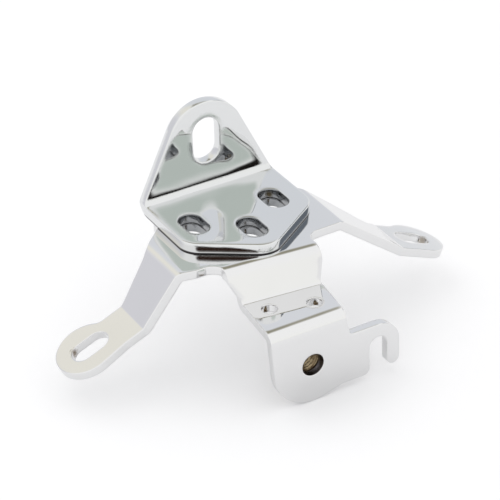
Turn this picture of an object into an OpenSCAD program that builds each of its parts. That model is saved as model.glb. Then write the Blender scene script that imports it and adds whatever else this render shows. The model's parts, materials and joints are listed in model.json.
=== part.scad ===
// Engine mount bracket of two folded steel plates and a weld nut.
// The upper bracket lies flat on the deck of the base bracket, and its slots line up with
// the deck's, so that bolts through both set how far the tab stands back. The base
// bracket is one blank, folded into two arms with slotted pads and a stepped front
// flange with a hook. Sizes are measured from the tab's front face (y = 0), its centre line
// (x = 0) and the deck's upper face (z = 0). The origin is the middle of the flange's
// bolt hole, on the flange's front face. +X is the right arm, +Y the back, +Z up.

/* [Plate] */
// Thickness of the upper bracket
upper_t = 4.76; // [3:0.01:8]
// Thickness of the base bracket
base_t = 4; // [2.5:0.05:6]
// Inside radius of the upper bracket's fold
upper_fold_r = 2.5; // [1:0.1:5]
// Inside radius of the base bracket's folds
base_fold_r = 1.5; // [0.5:0.1:3]

/* [Upper bracket] */
// Width of the upper bracket at its fold
upper_w = 64.2; // [50:0.2:90]
// Reach from the tab's front face to the nose, before rounding
upper_reach = 58.5; // [50:0.5:80]
// Angle of the two front edges from the fold line
nose_angle = 34.5; // [20:0.5:45]
// Radius of the nose
nose_r = 10; // [3:0.5:14]
// Radius of the two side corners
side_corner_r = 11; // [3:0.5:14]
// How far the nose and the three slots sit left of the tab's centre line
slot_offset = 1.1; // [0:0.1:3]

/* [Tab] */
// Radius of the tab's round top
tab_top_r = 18.7; // [12:0.1:26]
// Height of the round top's centre over the upper plate
tab_centre_h = 23.3; // [18:0.1:50]
// Width of the tab's slot
tab_slot_w = 13.2; // [8:0.1:18]
// Length of the tab's slot, end to end
tab_slot_l = 21.8; // [16:0.1:28]

/* [Deck slots] */
// Width of the three slots through both plates
deck_slot_w = 10.3; // [6:0.1:14]
// Length of the three slots, end to end
deck_slot_l = 17; // [12:0.1:22]
// Distance between the two outer slots
outer_slot_pitch = 39.6; // [30:0.1:46]
// Distance of the outer slots from the tab's front face
outer_slot_y = 24.6; // [20:0.1:32]
// Distance of the middle slot from the tab's front face
middle_slot_y = 40.1; // [30:0.1:44]

/* [Deck] */
// Width of the deck at its back edge
deck_w = 64; // [50:0.5:90]
// Distance of the back edge from the tab's front face
deck_back_y = 8; // [3:0.5:11]
// Distance of the front edges from the tab's front face
deck_front_y = 51.3; // [46:0.1:60]
// Distance of the shoulders, where the back edge turns out to the arms
shoulder_y = 12; // [9:0.5:16]
// Radius of the shoulders
shoulder_r = 2; // [0.5:0.1:3]
// Radius of the deck's edges where the arms begin
arm_root_r = 8; // [3:0.5:10]
// Radius of the arms' edges at their second folds
arm_waist_r = 3; // [1:0.1:4]

/* [Pads] */
// Angle that both pads fall outward
pad_tilt = 22.5; // [10:0.5:30]
// Width of the pads' slots
pad_slot_w = 10.6; // [6:0.1:13]
// Length of the pads' slots, end to end
pad_slot_l = 17.7; // [12:0.1:22]
// Radius of the fillet between a pad's round end and the arm's back edge
pad_neck_r = 5; // [2:0.5:8]

/* [Left arm] */
// Distance of the first fold from the centre line
left_fold_x = 43; // [38:0.5:60]
// Angle that the arm falls from the deck
left_fall = 56.8; // [40:0.1:65]
// Depth of the second fold below the deck
left_drop = 23.7; // [15:0.1:30]
// Distance of the pad slot's middle from the second fold
left_slot_u = 21.65; // [18:0.05:30]
// Distance of the slot's middle from the tab's front face
left_slot_y = 34.5; // [30:0.1:40]
// Radius of the pad's round end
left_pad_r = 14; // [11:0.1:18]
// Place of the round end's centre from the slot's middle, outward and to the back
left_pad_shift = [1.9, 0.6]; // [-3:0.1:5]
// Front and back edges of the arm at its second fold
left_waist = [46.3, 25.6]; // [15:0.1:60]
// Front and back edges of the arm at its first fold
left_root = [49.4, 24]; // [15:0.1:60]
// Distance inward from the first fold to where the front edge turns to the arm
left_turn = 8; // [4:0.5:14]

/* [Right arm] */
// Distance of the first fold from the centre line
right_fold_x = 38; // [38:0.5:55]
// Angle that the arm falls from the deck
right_fall = 38.4; // [30:0.1:60]
// Depth of the second fold below the deck
right_drop = 26.7; // [20:0.1:32]
// Distance of the pad slot's middle from the second fold
right_slot_u = 13.85; // [12:0.05:25]
// Distance of the slot's middle from the tab's front face
right_slot_y = 35.5; // [30:0.1:40]
// Radius of the pad's round end
right_pad_r = 13.1; // [11:0.1:18]
// Place of the round end's centre from the slot's middle, outward and to the back
right_pad_shift = [3.1, 0.6]; // [-3:0.1:5]
// Front and back edges of the arm at its second fold
right_waist = [47.8, 24.2]; // [15:0.1:60]
// Front and back edges of the arm at its first fold
right_root = [51, 18.6]; // [15:0.1:60]
// Narrowest place of the arm, inward from its second fold, and its back edge there
right_neck = [7.5, 29.2]; // [5:0.1:40]
// Radius of the arm's back edge there
right_neck_r = 7; // [3:0.5:9]
// Long curve of the back edge: distance outward from the first fold, and the edge there
right_brow = [11, 21.2]; // [5:0.1:30]
// Radius of the long curve
right_brow_r = 20; // [10:0.5:24]

/* [Front step] */
// Distance of the riser's upper fold from the tab's front face
riser_y = 60.6; // [58:0.1:66]
// Angle that the riser falls from the deck
riser_fall = 72.3; // [60:0.1:85]
// Angle between the riser's folds and the flange, seen from above
riser_skew = 6; // [0:0.5:10]
// Depth of the step below the deck
step_drop = 15.4; // [12:0.1:20]
// Left and right edges of the step at the deck
step_root = [-24.3, 19.2]; // [-35:0.1:35]
// Left and right edges of the step below the riser
step_waist = [-20.2, 16.7]; // [-35:0.1:35]
// Radii of the left and right reliefs beside the step
relief_r = [6.6, 5.3]; // [3:0.1:9]
// Radius of the step's edges where its width changes
step_edge_r = 8; // [3:0.5:12]
// Diameter of the two small holes in the step
step_hole_d = 7.2; // [4:0.1:9]
// Place of the left small hole
step_hole_left = [-12, -72.5]; // [-90:0.1:20]
// Place of the right small hole
step_hole_right = [6.6, -78.5]; // [-90:0.1:20]

/* [Flange] */
// Distance of the flange's front face from the tab's front face
flange_y = 91.3; // [86:0.1:100]
// Left and right edges of the flange at its fold
flange_root = [-22.2, 14.5]; // [-35:0.1:35]
// Bolt hole's distance left of the tab's centre line
bolt_hole_x = 2.4; // [0:0.1:5]
// Bolt hole's depth below the deck
bolt_hole_depth = 36.6; // [30:0.1:42]
// Diameter of the bolt hole
bolt_hole_d = 10.4; // [8:0.1:13]
// Radius of the flange's round end about the bolt hole
flange_r = 18.5; // [15:0.1:24]
// Depth of the foot's lower edge below the deck
foot_depth = 51.8; // [48:0.1:54]
// Angle that the foot's lower edge rises from the round end
foot_slope = 14.5; // [5:0.5:25]
// Radius where the foot's lower edge turns level
foot_bend_r = 10; // [3:0.5:15]
// Radius of the foot's right corner
foot_corner_r = 3; // [1:0.1:5]

/* [Hook] */
// Distance of the hook's centre from the tab's centre line
hook_x = 30.25; // [28:0.05:36]
// Outer radius of the hook
hook_outer_r = 10.7; // [9:0.1:14]
// Inner radius of the hook, half the width of its gap
hook_inner_r = 4.45; // [3:0.05:5.5]
// Depth of the hook's upper edge below the deck
hook_top_depth = 28.05; // [26:0.05:34]
// Distance of the notch above the hook from the flange's right edge
hook_root_out = 1.7; // [0.5:0.1:4]
// Radius of that notch
hook_root_r = 1.5; // [0.5:0.1:2.5]
// Depth of the hook's tip below the deck
hook_tip_depth = 50.6; // [46:0.1:56]

/* [Weld nut] */
// Width of the nut across its flats
nut_flats = 14.3; // [12:0.1:19]
// Height of the nut
nut_h = 8.3; // [5:0.1:12]
// Minor diameter of the nut's thread
nut_minor_d = 8; // [6:0.05:10]
// Depth of the chamfer at both ends of the thread
nut_chamfer = 0.8; // [0.2:0.1:1.5]
// How far the bevelled end's edge lies inside the nut's flats
nut_bevel = 0.3; // [0.1:0.1:1]

/* [Hidden] */
$fn = 96;

// Overlap of a cutter past the face that it opens
past = 1;
// How far outside the first folds the back edges turn, and how far inside the second folds
root_out = 1.5;
waist_in = 1.5;
// Stretch over which two flats in one plane overlap where they join
lap = 3;
// How far a corner's piece reaches, as a multiple of its radius
corner_past = 1.2;
// Outer radius of the base bracket's folds
base_outer_r = base_fold_r + base_t;
// Distances of the arms' second folds from the centre line
left_waist_x = left_fold_x + left_drop / tan(left_fall);
right_waist_x = right_fold_x + right_drop / tan(right_fall);
// Foot of the riser, and the line halfway along the step
riser_foot_y = -riser_y - step_drop / tan(riser_fall);
step_mid_y = (riser_foot_y - flange_y) / 2;
step_mid_x = (step_waist[0] + step_waist[1]) / 2;
// Height where the flange's fold ends
flange_top = -step_drop - base_outer_r;
// Height below everything
below = -foot_depth - lap - flange_r;
// Places in the flange's plane
bolt_hole = [-bolt_hole_x, -bolt_hole_depth];
hook_centre = [hook_x, -hook_top_depth - hook_outer_r];
// Point of the part that becomes the origin
datum = [-bolt_hole_x, -flange_y, -bolt_hole_depth];

chrome = [0.8, 0.81, 0.82];
chrome_shade = [0.68, 0.7, 0.72];
bare_steel = [0.36, 0.28, 0.24];

upper_bracket();
base_bracket();
weld_nut();

// Vector of length 1 along v
function unit(v) = v / norm(v);

// Place of a corner [x, y, radius]
function place(corner) = [corner[0], corner[1]];

// Point p with four decimals
function snapped(p) = [for (v = p) round(v * 10000) / 10000];

// Half of the angle between a corner's two sides
function half_angle(before, corner, after) =
    acos(unit(place(before) - place(corner)) * unit(place(after) - place(corner))) / 2;

// The two points where a corner's arc meets its sides
function arc_ends(before, corner, after) =
    let (reach = corner[2] / tan(half_angle(before, corner, after)))
    [for (side = [before, after]) place(corner) + reach * unit(place(side) - place(corner))];

// Centre of a corner's arc
function arc_centre(before, corner, after) =
    let (a = unit(place(before) - place(corner)))
    let (b = unit(place(after) - place(corner)))
    place(corner) + unit(a + b) * corner[2] / sin(half_angle(before, corner, after));

// True where an anticlockwise outline sticks out
function is_outward(before, corner, after) =
    cross(place(corner) - place(before), place(after) - place(corner)) > 0;

// Moves to p in two steps, a rounded one and the rest, so that no digit of p is lost
module at(p) {
    coarse = snapped(p);
    translate(coarse) translate(p - coarse) children();
}

// Space between a corner's arc and its two sides, and a little past the sides
module corner_piece(before, corner, after) {
    centre = arc_centre(before, corner, after);
    ends = arc_ends(before, corner, after);
    difference() {
        polygon([
            centre,
            for (p = [ends[0], place(corner), ends[1]]) centre + corner_past * (p - centre)
        ]);
        at(centre) circle(corner[2]);
    }
}

// Pieces of all rounded corners that stick out, or of all those that go in
module corner_pieces(corners, outward) {
    n = len(corners);
    for (i = [0:n - 1]) {
        before = corners[(i + n - 1) % n];
        after = corners[(i + 1) % n];
        if (corners[i][2] > 0 && is_outward(before, corners[i], after) == outward)
            corner_piece(before, corners[i], after);
    }
}

// Outline through anticlockwise corners [x, y, radius], each rounded by a true arc
module rounded_outline(rough) {
    corners = [for (corner = rough) [each snapped(place(corner)), corner[2]]];
    difference() {
        union() {
            polygon([for (corner = corners) place(corner)]);
            corner_pieces(corners, false);
        }
        corner_pieces(corners, true);
    }
}

// Direction from one point to the next, in degrees
function heading(from, to) = atan2(to[1] - from[1], to[0] - from[0]);

// Directions of a path before and after its point i
function headings(path, i) =
    let (last = len(path) - 2)
    [
        heading(path[max(i - 1, 0)], path[max(i - 1, 0) + 1]),
        heading(path[min(i, last)], path[min(i, last) + 1])
    ];

// Corner of a plate's upper face, whose fold has the inside radius r
function upper_corner(path, i, t, r) =
    let (turn = headings(path, i)[1] - headings(path, i)[0])
    [path[i][0], path[i][1], turn > 0.001 ? r : turn < -0.001 ? r + t : 0];

// Corner of a plate's lower face, under the corner i of its upper face
function lower_corner(path, i, t, r) =
    let (ways = headings(path, i))
    let (turn = ways[1] - ways[0])
    let (mid = (ways[0] + ways[1]) / 2)
    let (p = path[i] + [sin(mid), -cos(mid)] * t / cos(turn / 2))
    [p[0], p[1], turn > 0.001 ? r + t : turn < -0.001 ? r : 0];

// Section of a folded plate of thickness t, with its upper face along the path
module folded_section(path, t, r) {
    last = len(path) - 1;
    rounded_outline([
        for (i = [0:last]) lower_corner(path, i, t, r),
        for (i = [last:-1:0]) upper_corner(path, i, t, r)
    ]);
}

// Extrudes an XZ outline along Y, from y0 to y1
module along_y(y0, y1) {
    translate([0, y1, 0]) rotate([90, 0, 0]) linear_extrude(y1 - y0) children();
}

// Extrudes a YZ outline along X, from x0 to x1
module along_x(x0, x1) {
    translate([x0, 0, 0]) rotate([90, 0, 90]) linear_extrude(x1 - x0) children();
}

// Extrudes an XY outline along Z, from z0 to z1
module along_z(z0, z1) {
    translate([0, 0, z0]) linear_extrude(z1 - z0) children();
}

// Slot of a width and an end-to-end length, along Y from its middle
module slot(width, length) {
    straight = length - width;
    square([width, straight], center = true);
    for (end = [-1, 1])
        translate([0, end * straight / 2]) circle(d = width);
}

// The three slots that go through both plates
module deck_slots() {
    pitch = outer_slot_pitch / 2;
    for (middle = [[-pitch, -outer_slot_y], [0, -middle_slot_y], [pitch, -outer_slot_y]])
        translate(middle - [slot_offset, 0]) slot(deck_slot_w, deck_slot_l);
}

// Plan of the upper plate, a home plate with its nose to the front
module upper_plan() {
    side = upper_w / 2;
    rounded_outline([
        [side, 0, 0],
        [-side, 0, 0],
        [-side, -upper_reach + (side - slot_offset) * tan(nose_angle), side_corner_r],
        [-slot_offset, -upper_reach, nose_r],
        [side, -upper_reach + (side + slot_offset) * tan(nose_angle), side_corner_r]
    ]);
}

// Front view of the tab, whose straight sides run into the round top as tangents
module tab_front() {
    side = upper_w / 2;
    contact = acos(tab_top_r / norm([side, tab_centre_h])) - atan(tab_centre_h / side);
    difference() {
        rounded_outline([
            [-side, -upper_t - past, 0],
            [side, -upper_t - past, 0],
            [side, 0, 0],
            [0, tab_centre_h + tab_top_r / sin(contact), tab_top_r],
            [-side, 0, 0]
        ]);
        translate([0, tab_centre_h]) slot(tab_slot_w, tab_slot_l);
    }
}

// Both flats of the upper bracket and the fold between them, wider than the bracket
module upper_section() {
    side = upper_w / 2 + past;
    top = upper_t + tab_centre_h + tab_top_r + past;
    path = [[-upper_reach - past, upper_t], [0, upper_t], [0, top]];
    along_x(-side, side) folded_section(path, upper_t, upper_fold_r);
}

// Plate with the upright tab
module upper_bracket() {
    color(chrome) translate(-datum) difference() {
        union() {
            intersection() {
                upper_section();
                along_z(-past, upper_t) upper_plan();
            }
            intersection() {
                upper_section();
                along_y(-upper_fold_r - past, upper_t + past) translate([0, upper_t]) tab_front();
            }
        }
        along_z(-past, upper_t + past) deck_slots();
    }
}

// Plan of the deck and both arms, as far as the middle of the pads' round ends, with the
// tongue that the riser is cut from
module deck_plan() {
    back = deck_w / 2;
    left_end = -left_waist_x - (left_slot_u + left_pad_shift[0]) * cos(pad_tilt);
    right_end = right_waist_x + (right_slot_u + right_pad_shift[0]) * cos(pad_tilt);
    tongue_y = riser_foot_y - lap;
    rounded_outline([
        [back, -deck_back_y, 0],
        [-back, -deck_back_y, 0],
        [-back, -shoulder_y, shoulder_r],
        [-left_fold_x - root_out, -left_root[1], arm_root_r],
        [-left_waist_x + waist_in, -left_waist[1], arm_waist_r],
        [left_end, -left_waist[1], 0],
        [left_end, -left_waist[0], 0],
        [-left_waist_x + waist_in, -left_waist[0], arm_waist_r],
        [-left_fold_x, -left_root[0], arm_root_r],
        [-left_fold_x + left_turn, -deck_front_y, arm_root_r],
        [step_root[0], -deck_front_y, relief_r[0]],
        [step_root[0], tongue_y, 0],
        [step_root[1], tongue_y, 0],
        [step_root[1], -deck_front_y, relief_r[1]],
        [right_fold_x, -right_root[0], arm_root_r],
        [right_waist_x - waist_in, -right_waist[0], arm_waist_r],
        [right_end, -right_waist[0], 0],
        [right_end, -right_waist[1], 0],
        [right_waist_x - waist_in, -right_waist[1], arm_waist_r],
        [right_waist_x - right_neck[0], -right_neck[1], right_neck_r],
        [right_fold_x + right_brow[0], -right_brow[1], right_brow_r],
        [right_fold_x + root_out, -right_root[1], arm_root_r / 2],
        [back, -shoulder_y, shoulder_r]
    ]);
}

// Line where the step meets the riser's lower fold, at a distance x from the centre line
function step_start_y(x) = riser_foot_y - base_fold_r - (x - step_mid_x) * tan(riser_skew);

// Plan of the step, from the riser to the flange
module step_plan() {
    rounded_outline([
        [step_waist[1], -deck_front_y, 0],
        [step_waist[0], -deck_front_y, 0],
        [step_waist[0], step_start_y(step_waist[0]), step_edge_r],
        [flange_root[0], -flange_y + base_outer_r, step_edge_r],
        [flange_root[0], -flange_y - past, 0],
        [flange_root[1], -flange_y - past, 0],
        [flange_root[1], -flange_y + base_outer_r, step_edge_r],
        [step_waist[1], step_start_y(step_waist[1]), step_edge_r]
    ]);
}

// Section through both arms, from pad to pad
module arms_section() {
    tilt = [cos(pad_tilt), -sin(pad_tilt)];
    left_waist_at = [-left_waist_x, -left_drop];
    right_waist_at = [right_waist_x, -right_drop];
    path = [
        left_waist_at + [-tilt[0], tilt[1]] * (left_slot_u + left_pad_shift[0] + left_pad_r + past),
        left_waist_at,
        [-left_fold_x, 0],
        [right_fold_x, 0],
        right_waist_at,
        right_waist_at + tilt * (right_slot_u + right_pad_shift[0] + right_pad_r + past)
    ];
    folded_section(path, base_t, base_fold_r);
}

// Front view of the riser, whose flat narrows from the deck to the step
module riser_front() {
    flat_top = -base_outer_r;
    flat_end = -step_drop + base_fold_r;
    polygon([
        [step_waist[0], flat_end - past],
        [step_waist[1], flat_end - past],
        [step_waist[1], flat_end],
        [step_root[1], flat_top],
        [step_root[1], flat_top + past],
        [step_root[0], flat_top + past],
        [step_root[0], flat_top],
        [step_waist[0], flat_end]
    ]);
}

// Deck, riser and step, wider than the tongue, with the riser's folds turned by the skew
module riser_section() {
    half_w = max(-step_root[0], step_root[1]) + max(relief_r);
    path = [
        [step_mid_y - lap, -step_drop],
        [riser_foot_y, -step_drop],
        [-riser_y, 0],
        [-deck_front_y + lap, 0]
    ];
    translate([step_mid_x, -riser_y, 0]) rotate(-riser_skew) translate([-step_mid_x, riser_y, 0])
        along_x(-half_w, half_w) folded_section(path, base_t, base_fold_r);
}

// Front half of the step and the flange, wider than both
module flange_section() {
    path = [[-flange_y, below], [-flange_y, -step_drop], [step_mid_y + lap, -step_drop]];
    side = hook_x + hook_outer_r + past;
    along_x(-side, side) folded_section(path, base_t, base_fold_r);
}

// Riser, step and flange with the hook
module stepped_front() {
    intersection() {
        union() {
            riser_section();
            flange_section();
        }
        union() {
            along_z(-base_outer_r, past) deck_plan();
            along_y(step_mid_y, -deck_front_y + lap) riser_front();
            along_z(flange_top, -step_drop + base_fold_r) step_plan();
            along_y(-flange_y - past, -flange_y + base_t + past) flange_front();
        }
    }
}

// Front view of the flange, with the round end about the bolt hole, the foot and the hook
module flange_front() {
    root = [for (x = flange_root) [x, flange_top]];
    gap_left = hook_x - hook_inner_r;
    tip_r = (hook_outer_r - hook_inner_r) / 2;
    leg_x = hook_x + hook_inner_r + tip_r;
    // Directions from the bolt hole to where the round end meets the left side and the foot
    left_way = heading(bolt_hole, root[0]) + acos(flange_r / norm(root[0] - bolt_hole));
    foot_way = 270 + foot_slope;
    mid_way = (left_way + foot_way) / 2;
    round_corner = bolt_hole + [cos(mid_way), sin(mid_way)] * flange_r / cos(foot_way - mid_way);
    foot_touch = bolt_hole + flange_r * [cos(foot_way), sin(foot_way)];
    foot_rise = -foot_depth - foot_touch[1];
    foot_bend = foot_touch + foot_rise * [1 / tan(foot_slope), 1];
    difference() {
        union() {
            rounded_outline([
                [root[0][0], flange_top + lap, 0],
                [root[0][0], root[0][1], 0],
                [each round_corner, flange_r],
                [each foot_bend, foot_bend_r],
                [gap_left, -foot_depth, foot_corner_r],
                [gap_left, hook_centre[1], 0],
                [hook_x, hook_centre[1], 0],
                [hook_x, -hook_top_depth, 0],
                [root[1][0] + hook_root_out, -hook_top_depth, hook_root_r],
                [root[1][0], root[1][1], 0],
                [root[1][0], flange_top + lap, 0]
            ]);
            translate(hook_centre) circle(hook_outer_r);
            translate([leg_x - tip_r, -hook_tip_depth + tip_r])
                square([2 * tip_r, hook_tip_depth - tip_r + hook_centre[1]]);
            translate([leg_x, -hook_tip_depth + tip_r]) circle(tip_r);
        }
        translate(bolt_hole) circle(d = bolt_hole_d);
        translate(hook_centre) circle(hook_inner_r);
        translate([gap_left, below]) square([2 * hook_inner_r, hook_centre[1] - below]);
    }
}

// Outline of a pad in its own plane, along X from the fold
module pad_outline(start, slot_at, shift, r, waist) {
    middle = slot_at + shift;
    neck_y = -waist[1] + pad_neck_r;
    neck_u = middle[0] - sqrt(pow(r + pad_neck_r, 2) - pow(neck_y - middle[1], 2));
    touch = middle + r * unit([neck_u, neck_y] - middle);
    difference() {
        union() {
            translate(middle) circle(r);
            polygon([
                [start, -waist[0] + past],
                middle - [0, r],
                middle,
                touch,
                [neck_u, -waist[1]],
                [start, -waist[1] - past]
            ]);
        }
        at([neck_u, neck_y]) circle(pad_neck_r);
    }
}

// Moves what is drawn in a pad's plane to the pad of a right-hand arm with its fold there
module on_pad(fold, waist) {
    translate([fold[0], -waist[1], fold[1]]) rotate([0, pad_tilt, 0]) translate([0, waist[1], 0])
        along_z(-base_t - past, past) children();
}

// Cutter around the left pad, or for its slot
module left_pad(is_slot) {
    slot_at = [left_slot_u, -left_slot_y];
    start = base_fold_r * tan((left_fall - pad_tilt) / 2);
    mirror([1, 0, 0]) on_pad([left_waist_x, -left_drop], left_waist) {
        if (is_slot) translate(slot_at) rotate(90) slot(pad_slot_w, pad_slot_l);
        else pad_outline(start, slot_at, left_pad_shift, left_pad_r, left_waist);
    }
}

// Cutter around the right pad, or for its slot
module right_pad(is_slot) {
    slot_at = [right_slot_u, -right_slot_y];
    start = base_fold_r * tan((right_fall - pad_tilt) / 2);
    on_pad([right_waist_x, -right_drop], right_waist) {
        if (is_slot) translate(slot_at) rotate(90) slot(pad_slot_w, pad_slot_l);
        else pad_outline(start, slot_at, right_pad_shift, right_pad_r, right_waist);
    }
}

// One blank, folded into the two arms and the stepped front flange
module base_bracket() {
    color(chrome_shade) translate(-datum) difference() {
        union() {
            intersection() {
                along_y(-deck_front_y - past, -deck_back_y) arms_section();
                union() {
                    along_z(below, past) deck_plan();
                    left_pad(false);
                    right_pad(false);
                }
            }
            stepped_front();
        }
        along_z(-base_t - past, past) deck_slots();
        left_pad(true);
        right_pad(true);
        for (hole = [step_hole_left, step_hole_right])
            translate([hole[0], hole[1], -step_drop - base_t - past])
                cylinder(h = base_t + 2 * past, d = step_hole_d);
    }
}

// Hexagon nut on the flange's back face, on the bolt hole's axis
module weld_nut() {
    major = nut_minor_d + 2 * nut_chamfer;
    mouth = nut_chamfer + past;
    top_r = nut_flats / 2 - nut_bevel;
    color(bare_steel) translate([0, base_t, 0]) rotate([-90, 0, 0]) difference() {
        intersection() {
            cylinder(h = nut_h, d = nut_flats / cos(30), $fn = 6);
            cylinder(h = nut_h, r1 = top_r + nut_h / tan(30), r2 = top_r);
        }
        translate([0, 0, -past]) cylinder(h = nut_h + 2 * past, d = nut_minor_d);
        for (end = [0, 1])
            translate([0, 0, end * nut_h]) mirror([0, 0, end]) translate([0, 0, -past])
                cylinder(h = mouth, d1 = major + 2 * past, d2 = nut_minor_d);
    }
}
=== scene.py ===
"""Looks of a chromed engine mount bracket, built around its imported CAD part.

The two brackets keep their CAD meshes and take a procedural chrome. The weld nut is
replaced by one with a cut thread. The studio is a pale floor with soft light, and zones
of its sky stand for what the chrome mirrors in the photograph. Sizes are in millimetres
where a name ends in _mm, and in metres otherwise. Colours are linear.
"""

import json
import logging
import math
from collections.abc import Callable
from dataclasses import dataclass
from enum import Enum
from typing import ClassVar

import bmesh
import bpy
from mathutils import Matrix, Vector

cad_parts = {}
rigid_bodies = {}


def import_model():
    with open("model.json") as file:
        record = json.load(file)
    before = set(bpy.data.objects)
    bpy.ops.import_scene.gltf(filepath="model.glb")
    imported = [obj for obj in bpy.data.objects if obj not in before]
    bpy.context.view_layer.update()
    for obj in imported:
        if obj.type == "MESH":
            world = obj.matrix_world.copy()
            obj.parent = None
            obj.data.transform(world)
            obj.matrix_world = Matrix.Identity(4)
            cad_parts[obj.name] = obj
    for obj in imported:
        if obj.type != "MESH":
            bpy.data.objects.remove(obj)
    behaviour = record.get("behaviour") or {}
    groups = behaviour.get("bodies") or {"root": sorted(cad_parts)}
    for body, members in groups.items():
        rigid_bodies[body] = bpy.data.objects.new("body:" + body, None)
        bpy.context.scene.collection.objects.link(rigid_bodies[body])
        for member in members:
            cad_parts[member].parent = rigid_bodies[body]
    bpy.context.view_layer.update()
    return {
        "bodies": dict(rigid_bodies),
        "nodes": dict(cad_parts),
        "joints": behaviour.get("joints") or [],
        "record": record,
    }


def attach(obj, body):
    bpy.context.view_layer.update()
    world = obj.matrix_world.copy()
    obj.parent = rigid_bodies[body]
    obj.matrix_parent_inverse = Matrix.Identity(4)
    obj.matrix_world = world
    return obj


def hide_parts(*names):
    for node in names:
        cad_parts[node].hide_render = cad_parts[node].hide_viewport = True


logging.basicConfig(level=logging.INFO, format="%(levelname)s %(message)s")
log = logging.getLogger("bracket")

MM = 0.001
# Factors that leave of a place only what lies across an axis.
ACROSS_Y = (1.0, 0.0, 1.0)
ACROSS_Z = (1.0, 1.0, 0.0)

Triple = tuple[float, float, float]
Socket = bpy.types.NodeSocket
Ring = Callable[[float], tuple[float, float]]


class CadNode(Enum):
    """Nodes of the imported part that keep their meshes."""

    UPPER = "upper_bracket"
    BASE = "base_bracket"


def direction(azimuth: float, elevation: float) -> Triple:
    """Gives the direction of an azimuth, from straight in front, and an elevation, both in degrees."""
    a, e = math.radians(azimuth), math.radians(elevation)
    return (math.sin(a) * math.cos(e), -math.cos(a) * math.cos(e), math.sin(e))


class Nodes:
    """Adds and links shader nodes in one node tree.

    Args:
        tree: The node tree to fill. What it holds is removed.
    """

    def __init__(self, tree: bpy.types.NodeTree) -> None:
        """Empties the tree."""
        self.tree = tree
        tree.nodes.clear()

    def add(self, kind: str, **values: object) -> bpy.types.Node:
        """Adds a node.

        Args:
            kind: The node's type, without the prefix ShaderNode.
            **values: Values for its sockets, with _ for a space, or for its own settings in lower case.

        Returns:
            The node.
        """
        node = self.tree.nodes.new("ShaderNode" + kind)
        for key, value in values.items():
            name = key.replace("_", " ")
            if name in node.inputs:
                node.inputs[name].default_value = value
            else:
                setattr(node, key, value)
        return node

    def feed(self, source: object, target: Socket) -> None:
        """Links a socket to an input, or sets the input to a value.

        Args:
            source: A socket, a number or a triple.
            target: The input.
        """
        if isinstance(source, Socket):
            self.tree.links.new(source, target)
        elif target.type == "RGBA":
            target.default_value = (*source, 1.0)
        else:
            target.default_value = source

    def math(self, operation: str, *inputs: object) -> Socket:
        """Adds a math node.

        Args:
            operation: What it does.
            *inputs: Its inputs, each a number or a socket.

        Returns:
            Its output.
        """
        node = self.add("Math", operation=operation)
        for socket, value in zip(node.inputs, inputs):
            self.feed(value, socket)
        return node.outputs[0]

    def vector(self, operation: str, *inputs: object) -> Socket:
        """Adds a vector math node.

        Args:
            operation: What it does.
            *inputs: Its inputs, each a triple or a socket.

        Returns:
            The output that the operation uses.
        """
        node = self.add("VectorMath", operation=operation)
        for socket, value in zip(node.inputs, inputs):
            self.feed(value, socket)
        is_number = operation in ("DISTANCE", "DOT_PRODUCT", "LENGTH")
        return node.outputs["Value" if is_number else "Vector"]

    def mix(self, factor: object, a: object, b: object) -> Socket:
        """Mixes two colours.

        Args:
            factor: Share of the second colour, a number or a socket.
            a: The first colour, a triple or a socket.
            b: The second colour, a triple or a socket.

        Returns:
            The result.
        """
        node = self.add("Mix", data_type="RGBA")
        for index, value in ((0, factor), (6, a), (7, b)):
            self.feed(value, node.inputs[index])
        return node.outputs[2]

    def ramp(self, source: Socket, low: float, high: float) -> Socket:
        """Maps a value smoothly to 0..1.

        Args:
            source: The value.
            low: Value that gives 0.
            high: Value that gives 1. It may be the smaller one.

        Returns:
            The result.
        """
        node = self.add("MapRange", interpolation_type="SMOOTHSTEP", From_Min=low, From_Max=high)
        self.feed(source, node.inputs["Value"])
        return node.outputs["Result"]

    def noise(self, place: Socket, scale: float, detail: float, roughness: float = 0.5) -> Socket:
        """Adds a noise texture.

        Args:
            place: Where it is read.
            scale: Its scale.
            detail: Its octaves.
            roughness: How strong the finer octaves are.

        Returns:
            Its value.
        """
        node = self.add("TexNoise", Scale=scale, Detail=detail, Roughness=roughness)
        self.feed(place, node.inputs["Vector"])
        return node.outputs["Fac"]

    def height(self, place: Socket) -> Socket:
        """Gives a place's height.

        Args:
            place: The place.

        Returns:
            Its Z.
        """
        node = self.add("SeparateXYZ")
        self.feed(place, node.inputs[0])
        return node.outputs["Z"]

    def bump(
        self, height: Socket, strength: float, distance_mm: float, normal: Socket | None = None
    ) -> Socket:
        """Adds a bump.

        Args:
            height: The bump's height, from 0 to 1.
            strength: How much of it shows.
            distance_mm: What a height of 1 stands for.
            normal: The normal that it is laid on, if it isn't the surface's own one.

        Returns:
            The new normal.
        """
        node = self.add("Bump", Strength=strength, Distance=distance_mm * MM)
        self.feed(height, node.inputs["Height"])
        if normal is not None:
            self.feed(normal, node.inputs["Normal"])
        return node.outputs["Normal"]

    def show(self, shader: Socket, kind: str = "OutputMaterial") -> None:
        """Makes a shader the tree's result."""
        self.feed(shader, self.add(kind).inputs["Surface"])


def start_material(name: str) -> tuple[bpy.types.Material, Nodes, Socket]:
    """Makes a material with an empty node tree.

    Args:
        name: The material's name.

    Returns:
        The material, its nodes and its Object coordinates.
    """
    material = bpy.data.materials.new(name)
    material.use_nodes = True
    n = Nodes(material.node_tree)
    return material, n, n.add("TexCoord").outputs["Object"]


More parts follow.
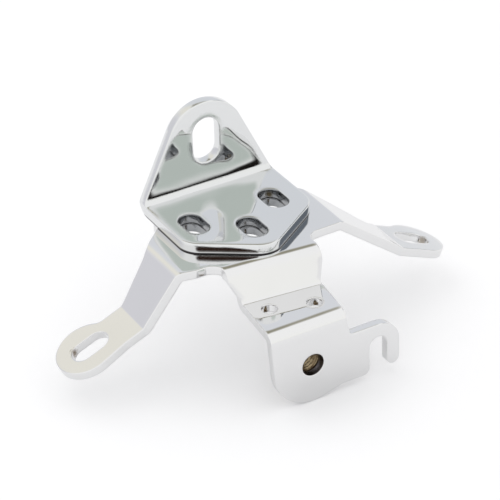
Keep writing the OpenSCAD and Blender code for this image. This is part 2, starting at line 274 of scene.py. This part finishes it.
@dataclass(frozen=True)
class Spot:
    """A stain with soft, uneven edges.

    Args:
        place: Its middle, in the row frame, in metres.
        radius: Its radius in metres.
        colour: Its colour.
        strength: How much of the chrome it hides, from 0 to 1.
    """

    place: Triple
    radius: float
    colour: Triple
    strength: float
    grain_scale: ClassVar[float] = 900.0
    fade: ClassVar[tuple[float, float]] = (0.7, 1.5)

    def mask(self, n: Nodes, place: Socket) -> Socket:
        """Adds nodes that give the stain's strength.

        Args:
            n: The material's nodes.
            place: The Object coordinates.

        Returns:
            Their output.
        """
        grain = n.noise(place, self.grain_scale, 4.0)
        away = n.math("MULTIPLY_ADD", grain, self.radius, n.vector("DISTANCE", place, self.place))
        inner, outer = (self.radius * fade for fade in self.fade)
        return n.math("MULTIPLY", n.ramp(away, outer, inner), self.strength)


@dataclass(frozen=True)
class Well:
    """A slot along Y through a level plate, whose wall gets a painted shade.

    Args:
        x_mm: Its middle across.
        y_mm: Its middle along.
        half_mm: Half the distance between the middles of its round ends.
        radius_mm: Half its width.
        fade_mm: Distances outside the wall between which the dark fades out.
    """

    x_mm: float
    y_mm: float
    half_mm: float = 3.35
    radius_mm: float = 5.15
    # fade_mm: Distances outside the wall between which the painted shade fades out.
    fade_mm: tuple[float, float] = (0.1, 0.45)

    def mask(self, n: Nodes, place: Socket) -> Socket:
        """Adds nodes that give 1 on the slot's wall, where the shade is painted, and 0 elsewhere.

        Args:
            n: The material's nodes.
            place: The Object coordinates.

        Returns:
            Their output.
        """
        front = (self.x_mm * MM, (self.y_mm - self.half_mm) * MM, 0.0)
        back = (self.x_mm * MM, (self.y_mm + self.half_mm) * MM, 0.0)
        nearest = n.vector("MINIMUM", n.vector("MAXIMUM", place, front), back)
        across = n.vector("MULTIPLY", n.vector("SUBTRACT", place, nearest), ACROSS_Z)
        inner, outer = ((self.radius_mm + fade) * MM for fade in self.fade_mm)
        return n.ramp(n.vector("LENGTH", across), outer, inner)


@dataclass(frozen=True)
class Roll:
    """A slight roll of a face towards a fold, within a range of heights.

    Args:
        along: Direction in which the roll grows.
        low_mm: Distance along it where the roll starts.
        high_mm: Distance along it where the roll is full.
        heights_mm: Lowest and highest height in the row frame at which it shows.
        tilt: What is added to the face's normal where the roll is full.
    """

    along: Triple
    low_mm: float
    high_mm: float
    heights_mm: tuple[float, float]
    tilt: Triple

    def lean(self, n: Nodes, place: Socket, normal: Socket) -> Socket:
        """Adds the roll to a normal.

        Args:
            n: The material's nodes.
            place: The Object coordinates.
            normal: The normal.

        Returns:
            The normal with the roll, not brought to a length of 1.
        """
        height = n.height(place)
        lowest, highest = self.heights_mm
        inside = n.math("MULTIPLY", n.math("GREATER_THAN", height, lowest * MM),
                        n.math("LESS_THAN", height, highest * MM))
        share = n.ramp(n.vector("DOT_PRODUCT", place, self.along), self.low_mm * MM, self.high_mm * MM)
        tilt = n.vector("MULTIPLY", n.math("MULTIPLY", share, inside), self.tilt)
        return n.vector("ADD", normal, tilt)


@dataclass(frozen=True)
class Chrome:
    """Polished chrome with fine smears, a little dulling in patches, painted shade on its hollow walls and
    gap line, and stains.

    Args:
        name: The material's name.
        colour: Its colour.
        roughness: Roughness of the clean plating.
        spots: Stains on it.
        edge_mm: Radius to which polishing has rounded its edges.
        pillow: How far the polishing has dished the faces near their edges, from 0 to 1.
        bore_mm: Radius of a hole along Y at the origin whose wall gets a painted shade, or 0.
        gap_mm: Height in the row frame under which a painted shade stands for the gap to the plate below,
            or 0.
        wells: Slots whose walls get a painted shade.
        rolls: Slight rolls of its faces towards a fold.
    """

    name: str
    colour: Triple
    roughness: float
    spots: tuple[Spot, ...] = ()
    edge_mm: float = 0.8
    pillow: float = 0.12
    bore_mm: float = 0.0
    gap_mm: float = 0.0
    wells: tuple[Well, ...] = ()
    rolls: tuple[Roll, ...] = ()

    patch_scale: ClassVar[float] = 14.0
    patch_range: ClassVar[tuple[float, float]] = (0.35, 0.75)
    patch_shade: ClassVar[float] = 0.965
    smear_scale: ClassVar[float] = 55.0
    smear_range: ClassVar[tuple[float, float]] = (0.45, 0.8)
    smear_roughness: ClassVar[float] = 0.035
    stain_roughness: ClassVar[float] = 0.5
    bore_share: ClassVar[float] = 0.5
    bore_margin_mm: ClassVar[float] = 0.06
    ripple_scale: ClassVar[float] = 38.0
    ripple_strength: ClassVar[float] = 0.6
    ripple_mm: ClassVar[float] = 0.6
    pillow_reach: ClassVar[float] = 4.5
    bevel_samples: ClassVar[int] = 8
    gap_fade_mm: ClassVar[float] = 0.3
    # Painted shade: a grey on the slot walls that stands for the shade inside the slots.
    slot_wall_painted_shade: ClassVar[Triple] = (0.32, 0.33, 0.34)
    # Painted shade on the bolt hole's wall.
    bore_wall_painted_shade: ClassVar[Triple] = (0.17, 0.155, 0.16)
    # Painted shade along the foot of the plate, for the gap to the plate below.
    gap_painted_shade: ClassVar[Triple] = (0.02, 0.018, 0.02)

    def _bore_wall(self, n: Nodes, place: Socket) -> Socket:
        """Gives 1 on the wall of the bore and inside it, and 0 elsewhere."""
        away = n.vector("LENGTH", n.vector("MULTIPLY", place, ACROSS_Y))
        return n.math("LESS_THAN", away, (self.bore_mm + self.bore_margin_mm) * MM)

    def _gap(self, n: Nodes, place: Socket, smears: Socket) -> Socket:
        """Gives 1 below the gap's height, where its shade is painted, and 0 above it, with an uneven edge.
        """
        uneven = n.math("MULTIPLY_ADD", smears, self.gap_fade_mm * MM, n.height(place))
        return n.ramp(uneven, (self.gap_mm + self.gap_fade_mm) * MM, self.gap_mm * MM)

    def _plating(self, n: Nodes, place: Socket) -> tuple[Socket, Socket]:
        """Lays painted shade on the slot walls, the bore's wall and the gap line, and stains, over the
        clean plating.

        Args:
            n: The material's nodes.
            place: The Object coordinates.

        Returns:
            The colour and the roughness.
        """
        smears = n.noise(place, self.smear_scale, 5.0, 0.6)
        patches = n.ramp(n.noise(place, self.patch_scale, 3.0), *self.patch_range)
        colour = n.mix(patches, self.colour, tuple(self.patch_shade * c for c in self.colour))
        dulled = n.ramp(smears, *self.smear_range)
        rough = n.math("MULTIPLY_ADD", dulled, self.smear_roughness, self.roughness)
        # Painted shade darkens the slot walls.
        for well in self.wells:
            colour = n.mix(well.mask(n, place), colour, self.slot_wall_painted_shade)
        hidden: object = 0.0
        for spot in self.spots:
            mask = spot.mask(n, place)
            colour = n.mix(mask, colour, spot.colour)
            hidden = n.math("MAXIMUM", hidden, mask)
        if self.bore_mm:
            wall = self._bore_wall(n, place)
            # Painted shade on the bolt hole's wall.
            colour = n.mix(wall, colour, self.bore_wall_painted_shade)
            hidden = n.math("MAXIMUM", hidden, n.math("MULTIPLY", wall, self.bore_share))
        if self.gap_mm:
            # Painted shade along the gap to the plate below.
            colour = n.mix(self._gap(n, place, smears), colour, self.gap_painted_shade)
        return colour, n.math("MULTIPLY_ADD", hidden, self.stain_roughness, rough)

    def _normal(self, n: Nodes, place: Socket) -> Socket:
        """Rounds the edges, dishes and rolls the faces, and adds ripples.

        Args:
            n: The material's nodes.
            place: The Object coordinates.

        Returns:
            The normal.
        """
        both = n.add("Mix", data_type="VECTOR", Factor=self.pillow)
        for index, reach in ((4, 1.0), (5, self.pillow_reach)):
            bevel = n.add("Bevel", samples=self.bevel_samples, Radius=reach * self.edge_mm * MM)
            n.feed(bevel.outputs["Normal"], both.inputs[index])
        normal = both.outputs[1]
        for roll in self.rolls:
            normal = roll.lean(n, place, normal)
        ripples = n.noise(place, self.ripple_scale, 1.0)
        return n.bump(ripples, self.ripple_strength, self.ripple_mm, n.vector("NORMALIZE", normal))

    def build(self) -> bpy.types.Material:
        """Makes the material.

        Returns:
            The material.
        """
        material, n, place = start_material(self.name)
        colour, roughness = self._plating(n, place)
        surface = n.add("BsdfPrincipled", Metallic=1.0)
        n.feed(colour, surface.inputs["Base Color"])
        n.feed(roughness, surface.inputs["Roughness"])
        n.feed(self._normal(n, place), surface.inputs["Normal"])
        n.show(surface.outputs["BSDF"])
        return material


@dataclass(frozen=True)
class BrownedSteel:
    """Uncoated steel, browned unevenly.

    Args:
        name: The material's name.
        steel: Colour of the bare metal.
        brown: Colour of the browning.
    """

    name: str
    steel: Triple
    brown: Triple
    blotch_scale: ClassVar[float] = 160.0
    blotch_range: ClassVar[tuple[float, float]] = (0.38, 0.62)
    bare_roughness: ClassVar[float] = 0.24
    brown_roughness: ClassVar[float] = 0.22
    grain_scale: ClassVar[float] = 1400.0
    grain_strength: ClassVar[float] = 0.25
    grain_mm: ClassVar[float] = 0.1

    def build(self) -> bpy.types.Material:
        """Makes the material.

        Returns:
            The material.
        """
        material, n, place = start_material(self.name)
        browned = n.ramp(n.noise(place, self.blotch_scale, 6.0, 0.65), *self.blotch_range)
        roughness = n.math("MULTIPLY_ADD", browned, self.brown_roughness, self.bare_roughness)
        grain = n.noise(place, self.grain_scale, 4.0)
        surface = n.add("BsdfPrincipled", Metallic=1.0)
        n.feed(n.mix(browned, self.steel, self.brown), surface.inputs["Base Color"])
        n.feed(roughness, surface.inputs["Roughness"])
        n.feed(n.bump(grain, self.grain_strength, self.grain_mm), surface.inputs["Normal"])
        n.show(surface.outputs["BSDF"])
        return material


@dataclass(frozen=True)
class Matt:
    """Matt surface of the studio, faintly mottled.

    Args:
        name: The material's name.
        colour: Its colour.
        seen_lift: How much white the camera sees on top of it.
        mirrored_lift: How much white the chrome sees on top of it.
    """

    name: str
    colour: Triple
    seen_lift: float = 0.13
    mirrored_lift: float = 0.02
    mottle_scale: ClassVar[float] = 6.0
    mottle_shade: ClassVar[float] = 0.985

    def build(self) -> bpy.types.Material:
        """Makes the material.

        Returns:
            The material.
        """
        material, n, place = start_material(self.name)
        surface = n.add("BsdfDiffuse")
        mottled = tuple(self.mottle_shade * c for c in self.colour)
        n.feed(n.mix(n.noise(place, self.mottle_scale, 3.0), self.colour, mottled), surface.inputs["Color"])
        path = n.add("LightPath").outputs
        seen = n.math("MAXIMUM", path["Is Camera Ray"], path["Is Transmission Ray"])
        lift = n.add("Emission")
        strength = n.math("MULTIPLY_ADD", path["Is Glossy Ray"], self.mirrored_lift,
                          n.math("MULTIPLY", seen, self.seen_lift))
        n.feed(strength, lift.inputs["Strength"])
        both = n.add("AddShader")
        n.feed(surface.outputs["BSDF"], both.inputs[0])
        n.feed(lift.outputs["Emission"], both.inputs[1])
        n.show(both.outputs["Shader"])
        return material


@dataclass
class ThreadedNut:
    """Hexagon nut with bevelled corners and a cut thread, on the flange's back face.

    It is made standing on the XY plane as one ring after another, each extruded from the last,
    and then laid along Y.

    Args:
        flats_mm: Width across the flats.
        height_mm: Height along the thread.
        back_mm: Distance from the origin to its front face, along +Y.
        minor_mm: Minor radius of the thread.
        major_mm: Major radius of the thread.
        pitch_mm: Pitch of the thread.
        chamfer_mm: Depth of the chamfer at both ends of the thread.
        bevel_mm: How far the bevelled end's edge lies inside the flats.
        bevel_slope: Slope of the bevelled end in degrees.
        around: Steps around the thread.
        along: Steps along the thread for each pitch.
        flank: Steepness of the thread's flanks. At 1 they meet, and above 1 crest and root are flat.
        sharp: Angle in degrees past which an edge is shaded sharp.
    """

    flats_mm: float = 14.3
    height_mm: float = 8.3
    back_mm: float = 4.0
    minor_mm: float = 4.0
    major_mm: float = 4.76
    pitch_mm: float = 1.5875
    chamfer_mm: float = 0.8
    bevel_mm: float = 0.3
    bevel_slope: float = 30.0
    around: int = 96
    along: int = 12
    flank: float = 1.4
    sharp: float = 28.0
    join: ClassVar[float] = 1e-7

    def _thread_radius(self, angle: float, depth: float) -> float:
        """Works out the thread's wall.

        Args:
            angle: Angle around the nut.
            depth: Depth from the front face in millimetres.

        Returns:
            The wall's radius in millimetres.
        """
        phase = (depth / self.pitch_mm - angle / (2 * math.pi)) % 1.0
        ridge = min(1.0, max(0.0, abs(2 * phase - 1) * self.flank - (self.flank - 1) / 2))
        radius = self.major_mm - (self.major_mm - self.minor_mm) * ridge
        to_end = min(depth, self.height_mm - depth)
        return max(radius, self.minor_mm + self.chamfer_mm - to_end)

    def _outer_radius(self, angle: float) -> float:
        """Works out the hexagon's side.

        Args:
            angle: Angle around the nut.

        Returns:
            The side's distance from the middle in millimetres.
        """
        side = math.pi / 3
        turn = (angle % side) - side / 2
        return self.flats_mm / 2 / math.cos(turn)

    def _bevelled(self, angle: float) -> tuple[float, float]:
        """Works out the bevel's outer edge.

        Args:
            angle: Angle around the nut.

        Returns:
            Its radius and its depth in millimetres.
        """
        radius = self._outer_radius(angle)
        past_bevel = radius - (self.flats_mm / 2 - self.bevel_mm)
        return radius, self.height_mm - past_bevel * math.tan(math.radians(self.bevel_slope))

    def _rings(self) -> list[Ring]:
        """Lists the rings, from the thread's front end to its back end and round to the front again.

        Returns:
            For each ring, a function that gives its radius and its depth in millimetres at an angle.
        """
        edge = self.flats_mm / 2 - self.bevel_mm
        rows = round(self.height_mm / self.pitch_mm * self.along)
        depths = [self.height_mm * row / rows for row in range(rows + 1)]
        rings: list[Ring] = [lambda a, d=depth: (self._thread_radius(a, d), d) for depth in depths]
        rings.append(lambda a: (edge, self.height_mm))
        rings.append(self._bevelled)
        rings.append(lambda a: (self._outer_radius(a), 0.0))
        return rings

    def _place(self, verts: list[bmesh.types.BMVert], ring: Ring) -> None:
        """Moves vertices to a ring, each at its own angle.

        Args:
            verts: The vertices.
            ring: Gives radius and depth at an angle.
        """
        step = 2 * math.pi / self.around
        for vert in verts:
            angle = step * round(math.atan2(vert.co.y, vert.co.x) / step)
            radius, depth = ring(angle)
            vert.co = Vector((radius * math.cos(angle), radius * math.sin(angle), depth)) * MM

    def build(self) -> bpy.types.Object:
        """Makes the nut as one closed mesh in the row frame.

        Returns:
            The nut.
        """
        bm = bmesh.new()
        bmesh.ops.create_circle(bm, segments=self.around, radius=self.minor_mm * MM)
        rings = self._rings()
        self._place(bm.verts[:], rings[0])
        edges = bm.edges[:]
        for ring in (*rings[1:], rings[0]):
            made = bmesh.ops.extrude_edge_only(bm, edges=edges)["geom"]
            self._place([part for part in made if isinstance(part, bmesh.types.BMVert)], ring)
            edges = [part for part in made if isinstance(part, bmesh.types.BMEdge) and part.is_boundary]
        bmesh.ops.remove_doubles(bm, verts=bm.verts, dist=self.join)
        lie_along_y = Matrix(((1, 0, 0, 0), (0, 0, 1, self.back_mm * MM), (0, 1, 0, 0), (0, 0, 0, 1)))
        bm.transform(lie_along_y)
        bmesh.ops.recalc_face_normals(bm, faces=bm.faces)
        for face in bm.faces:
            face.smooth = True
        for line in bm.edges:
            line.smooth = line.calc_face_angle(0.0) <= math.radians(self.sharp)
        mesh = bpy.data.meshes.new("threaded_nut")
        bm.to_mesh(mesh)
        bm.free()
        nut = bpy.data.objects.new("threaded_nut", mesh)
        bpy.context.scene.collection.objects.link(nut)
        log.info("threaded_nut: %d faces", len(mesh.polygons))
        return nut


@dataclass
class Bracket:
    """The engine mount bracket: two chromed brackets and a nut.

    Args:
        wells: The deck's slots, which go through both plates and whose walls get a painted shade.
    """

    frame: dict
    wells: tuple[Well, ...] = (Well(-18.5, 66.7), Well(1.3, 51.2), Well(21.1, 66.7))

    def _upper_finish(self) -> Chrome:
        """Gives the upper bracket's finish.

        Returns:
            Chrome with a stain in a slot, painted shade on the slot walls and along the gap to the base,
            and rolls at the fold.
        """
        plate_mm, tab_mm = (40.5, 42.5), (42.5, 90.0)
        return Chrome(
            "polished_chrome_upper",
            colour=(0.83, 0.84, 0.84),
            roughness=0.025,
            spots=(Spot((0.0235, 0.0744, 0.0388), 0.0024, (0.10, 0.075, 0.03), 0.9),),
            edge_mm=1.2,
            pillow=0.24,
            gap_mm=37.2,
            wells=self.wells,
            rolls=(
                Roll((0.0, 1.0, 0.0), 70.0, 89.0, plate_mm, (0.0, -0.10, 0.0)),
                Roll((0.5, 0.0, -1.0), -42.0, -30.0, tab_mm, (0.0, 0.0, 0.06)),
            ),
        )

    def _base_finish(self) -> Chrome:
        """Gives the base bracket's finish.

        Returns:
            Chrome with stains at the pads' slots, and painted shade on the slot walls and in the bolt hole.
        """
        return Chrome(
            "polished_chrome_base",
            colour=(0.86, 0.86, 0.86),
            roughness=0.03,
            spots=(
                Spot((-0.0815, 0.0612, 0.0006), 0.0026, (0.20, 0.13, 0.06), 0.75),
                Spot((0.0940, 0.0576, -0.0005), 0.0030, (0.22, 0.15, 0.07), 0.6),
            ),
            bore_mm=5.2,
            wells=self.wells,
        )

    def _dress(self, which: CadNode, finish: Chrome) -> None:
        """Gives a CAD node its finish.

        Args:
            which: The node.
            finish: The finish.
        """
        materials = self.frame["nodes"][which.value].data.materials
        materials.clear()
        materials.append(finish.build())
        log.info("%s: %s", which.value, finish.name)

    def build(self) -> None:
        """Dresses the CAD nodes and puts the threaded nut in place of the plain one."""
        self._dress(CadNode.UPPER, self._upper_finish())
        self._dress(CadNode.BASE, self._base_finish())
        nut = ThreadedNut().build()
        steel = BrownedSteel("browned_steel", steel=(0.34, 0.27, 0.17), brown=(0.13, 0.08, 0.04))
        nut.data.materials.append(steel.build())
        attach(nut, "root")
        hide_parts("weld_nut")


@dataclass
class PhotoCamera:
    """The photograph's camera, fitted to the part.

    Args:
        azimuth: Its azimuth in degrees, from straight in front.
        elevation: Its elevation in degrees.
        roll: Its roll in degrees.
        distance_mm: Its distance along the view from the fitted point.
        offset_mm: The fitted point's offset from the picture's middle, at that distance.
        focal_px: Focal length in the picture's pixels.
        picture_px: Width of the picture in pixels.
        sensor_mm: Width of the sensor.
        datum_mm: Where the fitted point lies in the row frame.
        clip: Nearest and farthest distance that it shows.
    """

    azimuth: float = -29.15
    elevation: float = 32.06
    roll: float = -1.92
    distance_mm: float = 973.91
    offset_mm: tuple[float, float] = (-18.29, 24.25)
    focal_px: float = 2200.0
    picture_px: float = 500.0
    sensor_mm: float = 36.0
    datum_mm: Triple = (2.4, 91.3, 36.6)
    clip: tuple[float, float] = (0.05, 50.0)

    def build(self) -> bpy.types.Object:
        """Makes the camera and sets it as the scene's.

        Returns:
            The camera.
        """
        azimuth, roll = math.radians(self.azimuth), math.radians(self.roll)
        back = Vector(direction(self.azimuth, self.elevation))
        right = Vector((math.cos(azimuth), math.sin(azimuth), 0.0))
        up = back.cross(right)
        x_axis = math.cos(roll) * right + math.sin(roll) * up
        y_axis = math.cos(roll) * up - math.sin(roll) * right
        shift = x_axis * self.offset_mm[0] + y_axis * self.offset_mm[1]
        place = (back * self.distance_mm - shift + Vector(self.datum_mm)) * MM
        data = bpy.data.cameras.new("photo_camera")
        data.sensor_width = self.sensor_mm
        data.lens = self.focal_px * self.sensor_mm / self.picture_px
        data.clip_start, data.clip_end = self.clip
        camera = bpy.data.objects.new("photo_camera", data)
        turned = Matrix((x_axis, y_axis, back)).transposed()
        camera.matrix_world = Matrix.Translation(place) @ turned.to_4x4()
        bpy.context.scene.collection.objects.link(camera)
        bpy.context.scene.camera = camera
        log.info("photo_camera: lens %.1f mm", data.lens)
        return camera


@dataclass(frozen=True)
class Zone:
    """A part of the studio's sky, with a soft edge, that the chrome mirrors.

    Args:
        azimuth: Azimuth of its middle in degrees, as for a camera that stands there.
        elevation: Elevation of its middle in degrees.
        inner: Angle from its middle where it starts to fade, in degrees.
        outer: Angle from its middle where it ends, in degrees.
        colour: Its colour.
        deep: Whether only light that two or more mirrors have thrown back shows it.
    """

    azimuth: float
    elevation: float
    inner: float
    outer: float
    colour: Triple
    deep: bool = False

    def lay(self, n: Nodes, way: Socket, again: Socket, under: Socket) -> Socket:
        """Lays the zone over what the sky shows so far.

        Args:
            n: The world's nodes.
            way: The direction.
            again: 1 for light that two or more mirrors have thrown back, else 0.
            under: Colour of the sky so far.

        Returns:
            The new colour.
        """
        nearness = n.vector("DOT_PRODUCT", way, direction(self.azimuth, self.elevation))
        mask = n.ramp(nearness, math.cos(math.radians(self.outer)), math.cos(math.radians(self.inner)))
        if self.deep:
            mask = n.math("MULTIPLY", mask, again)
        return n.mix(mask, under, self.colour)


BLACK = (0.012, 0.010, 0.009)
BROWN_BLACK = (0.03, 0.016, 0.012)
CREAM = (0.88, 0.86, 0.79)
LAVENDER = (0.72, 0.72, 0.76)
BLUISH_GREY = (0.74, 0.76, 0.80)
KHAKI = (0.30, 0.285, 0.22)
SLATE = (0.16, 0.18, 0.21)
GREY_GREEN = (0.64, 0.69, 0.65)

LEFT_PAD_SEES = Zone(-168.0, 42.0, 10.0, 24.0, CREAM)
LEFT_SLOPE_SEES = Zone(-140.0, 6.0, 10.0, 40.0, LAVENDER)
DECK_SEES = Zone(150.0, 22.0, 14.0, 38.0, BLUISH_GREY)
FOLDS_SEE = Zone(150.0, 63.0, 8.0, 24.0, KHAKI)
LEFT_FOLDS_SEE = Zone(168.0, 50.0, 3.0, 8.0, KHAKI)
RIGHT_NOSE_SEES = Zone(98.0, 32.0, 8.0, 18.0, SLATE)
TAB_SEES_BY_PLATE = Zone(28.0, 32.0, 6.0, 13.0, GREY_GREEN, deep=True)
HORIZON = tuple(Zone(azimuth, 13.0, 4.5, 8.0, BLACK, deep=True) for azimuth in range(-60, 66, 6))
LEFT_NOSE_SEES_BY_DECK = Zone(-42.0, 31.0, 7.0, 16.0, BROWN_BLACK, deep=True)


@dataclass
class Studio:
    """Pale floor, soft white light and the zones of the sky that the chrome mirrors.

    Args:
        floor: The floor's finish.
        floor_mm: Height of the floor in the row frame.
        floor_radius: Radius of the floor.
        middle: Where the object stands, on the floor.
        lamp_place: Where the lamp hangs.
        lamp_size: Width of the lamp.
        lamp_power: Power of the lamp in watts.
        low_sky: Colour of the sky at the horizon, as the chrome sees it.
        high_sky: Colour of the sky overhead, as the chrome sees it.
        soft_light: Colour of the sky as all else sees it, but for the camera.
        zones: The zones, each laid over those before it.
    """

    floor: Matt = Matt("floor", (0.94, 0.94, 0.95))
    floor_mm: float = -18.5
    floor_radius: float = 3.0
    middle: Triple = (0.0, 0.05, 0.0)
    lamp_place: Triple = (-0.5, 0.6, 1.1)
    lamp_size: float = 1.2
    lamp_power: float = 1.8
    low_sky: Triple = (0.98, 0.98, 0.96)
    high_sky: Triple = (0.98, 0.98, 0.98)
    soft_light: Triple = (0.9, 0.9, 0.9)
    zones: tuple[Zone, ...] = (
        LEFT_PAD_SEES, LEFT_SLOPE_SEES, DECK_SEES, FOLDS_SEE, LEFT_FOLDS_SEE, RIGHT_NOSE_SEES,
        TAB_SEES_BY_PLATE, *HORIZON, LEFT_NOSE_SEES_BY_DECK,
    )
    floor_steps: ClassVar[int] = 96
    sky_heights: ClassVar[tuple[float, float]] = (-0.05, 0.75)
    # Light that one mirror has thrown back reaches the sky with a ray depth of 2.
    one_mirror_depth: ClassVar[float] = 2.5

    def _world(self) -> None:
        """Sets a white sky, in whose zones the chrome sees the room."""
        world = bpy.data.worlds.new("studio")
        bpy.context.scene.world = world
        world.use_nodes = True
        n = Nodes(world.node_tree)
        way = n.add("TexCoord").outputs["Generated"]
        path = n.add("LightPath").outputs
        again = n.math("GREATER_THAN", path["Ray Depth"], self.one_mirror_depth)
        shade = n.mix(n.ramp(n.height(way), *self.sky_heights), self.low_sky, self.high_sky)
        for zone in self.zones:
            shade = zone.lay(n, way, again, shade)
        shade = n.mix(path["Is Glossy Ray"], self.soft_light, shade)
        glow = n.add("Background")
        n.feed(n.mix(path["Is Camera Ray"], shade, (1.0, 1.0, 1.0)), glow.inputs["Color"])
        n.show(glow.outputs["Background"], "OutputWorld")
        log.info("studio: %d zones", len(self.zones))

    def _floor(self) -> None:
        """Makes the floor, parallel to the deck."""
        bm = bmesh.new()
        bmesh.ops.create_circle(bm, cap_ends=True, segments=self.floor_steps, radius=self.floor_radius)
        bm.transform(Matrix.Translation((self.middle[0], self.middle[1], self.floor_mm * MM)))
        mesh = bpy.data.meshes.new("floor")
        bm.to_mesh(mesh)
        bm.free()
        mesh.materials.append(self.floor.build())
        floor = bpy.data.objects.new("floor", mesh)
        bpy.context.scene.collection.objects.link(floor)

    def _lamp(self) -> None:
        """Makes a soft square lamp that faces the object and isn't mirrored."""
        data = bpy.data.lights.new("key", "AREA")
        data.size = self.lamp_size
        data.energy = self.lamp_power
        lamp = bpy.data.objects.new("key", data)
        lamp.location = self.lamp_place
        lamp.rotation_mode = "QUATERNION"
        away = Vector(self.lamp_place) - Vector(self.middle)
        lamp.rotation_quaternion = away.to_track_quat("Z", "Y")
        lamp.visible_glossy = False
        bpy.context.scene.collection.objects.link(lamp)

    def build(self) -> None:
        """Makes the world, floor and lamp."""
        self._world()
        self._floor()
        self._lamp()


def main() -> None:
    """Loads the part and builds its looks, the studio and the camera."""
    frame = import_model()
    bpy.context.scene.view_settings.view_transform = "Standard"
    Bracket(frame).build()
    Studio().build()
    PhotoCamera().build()


if __name__ == "__main__":
    main()
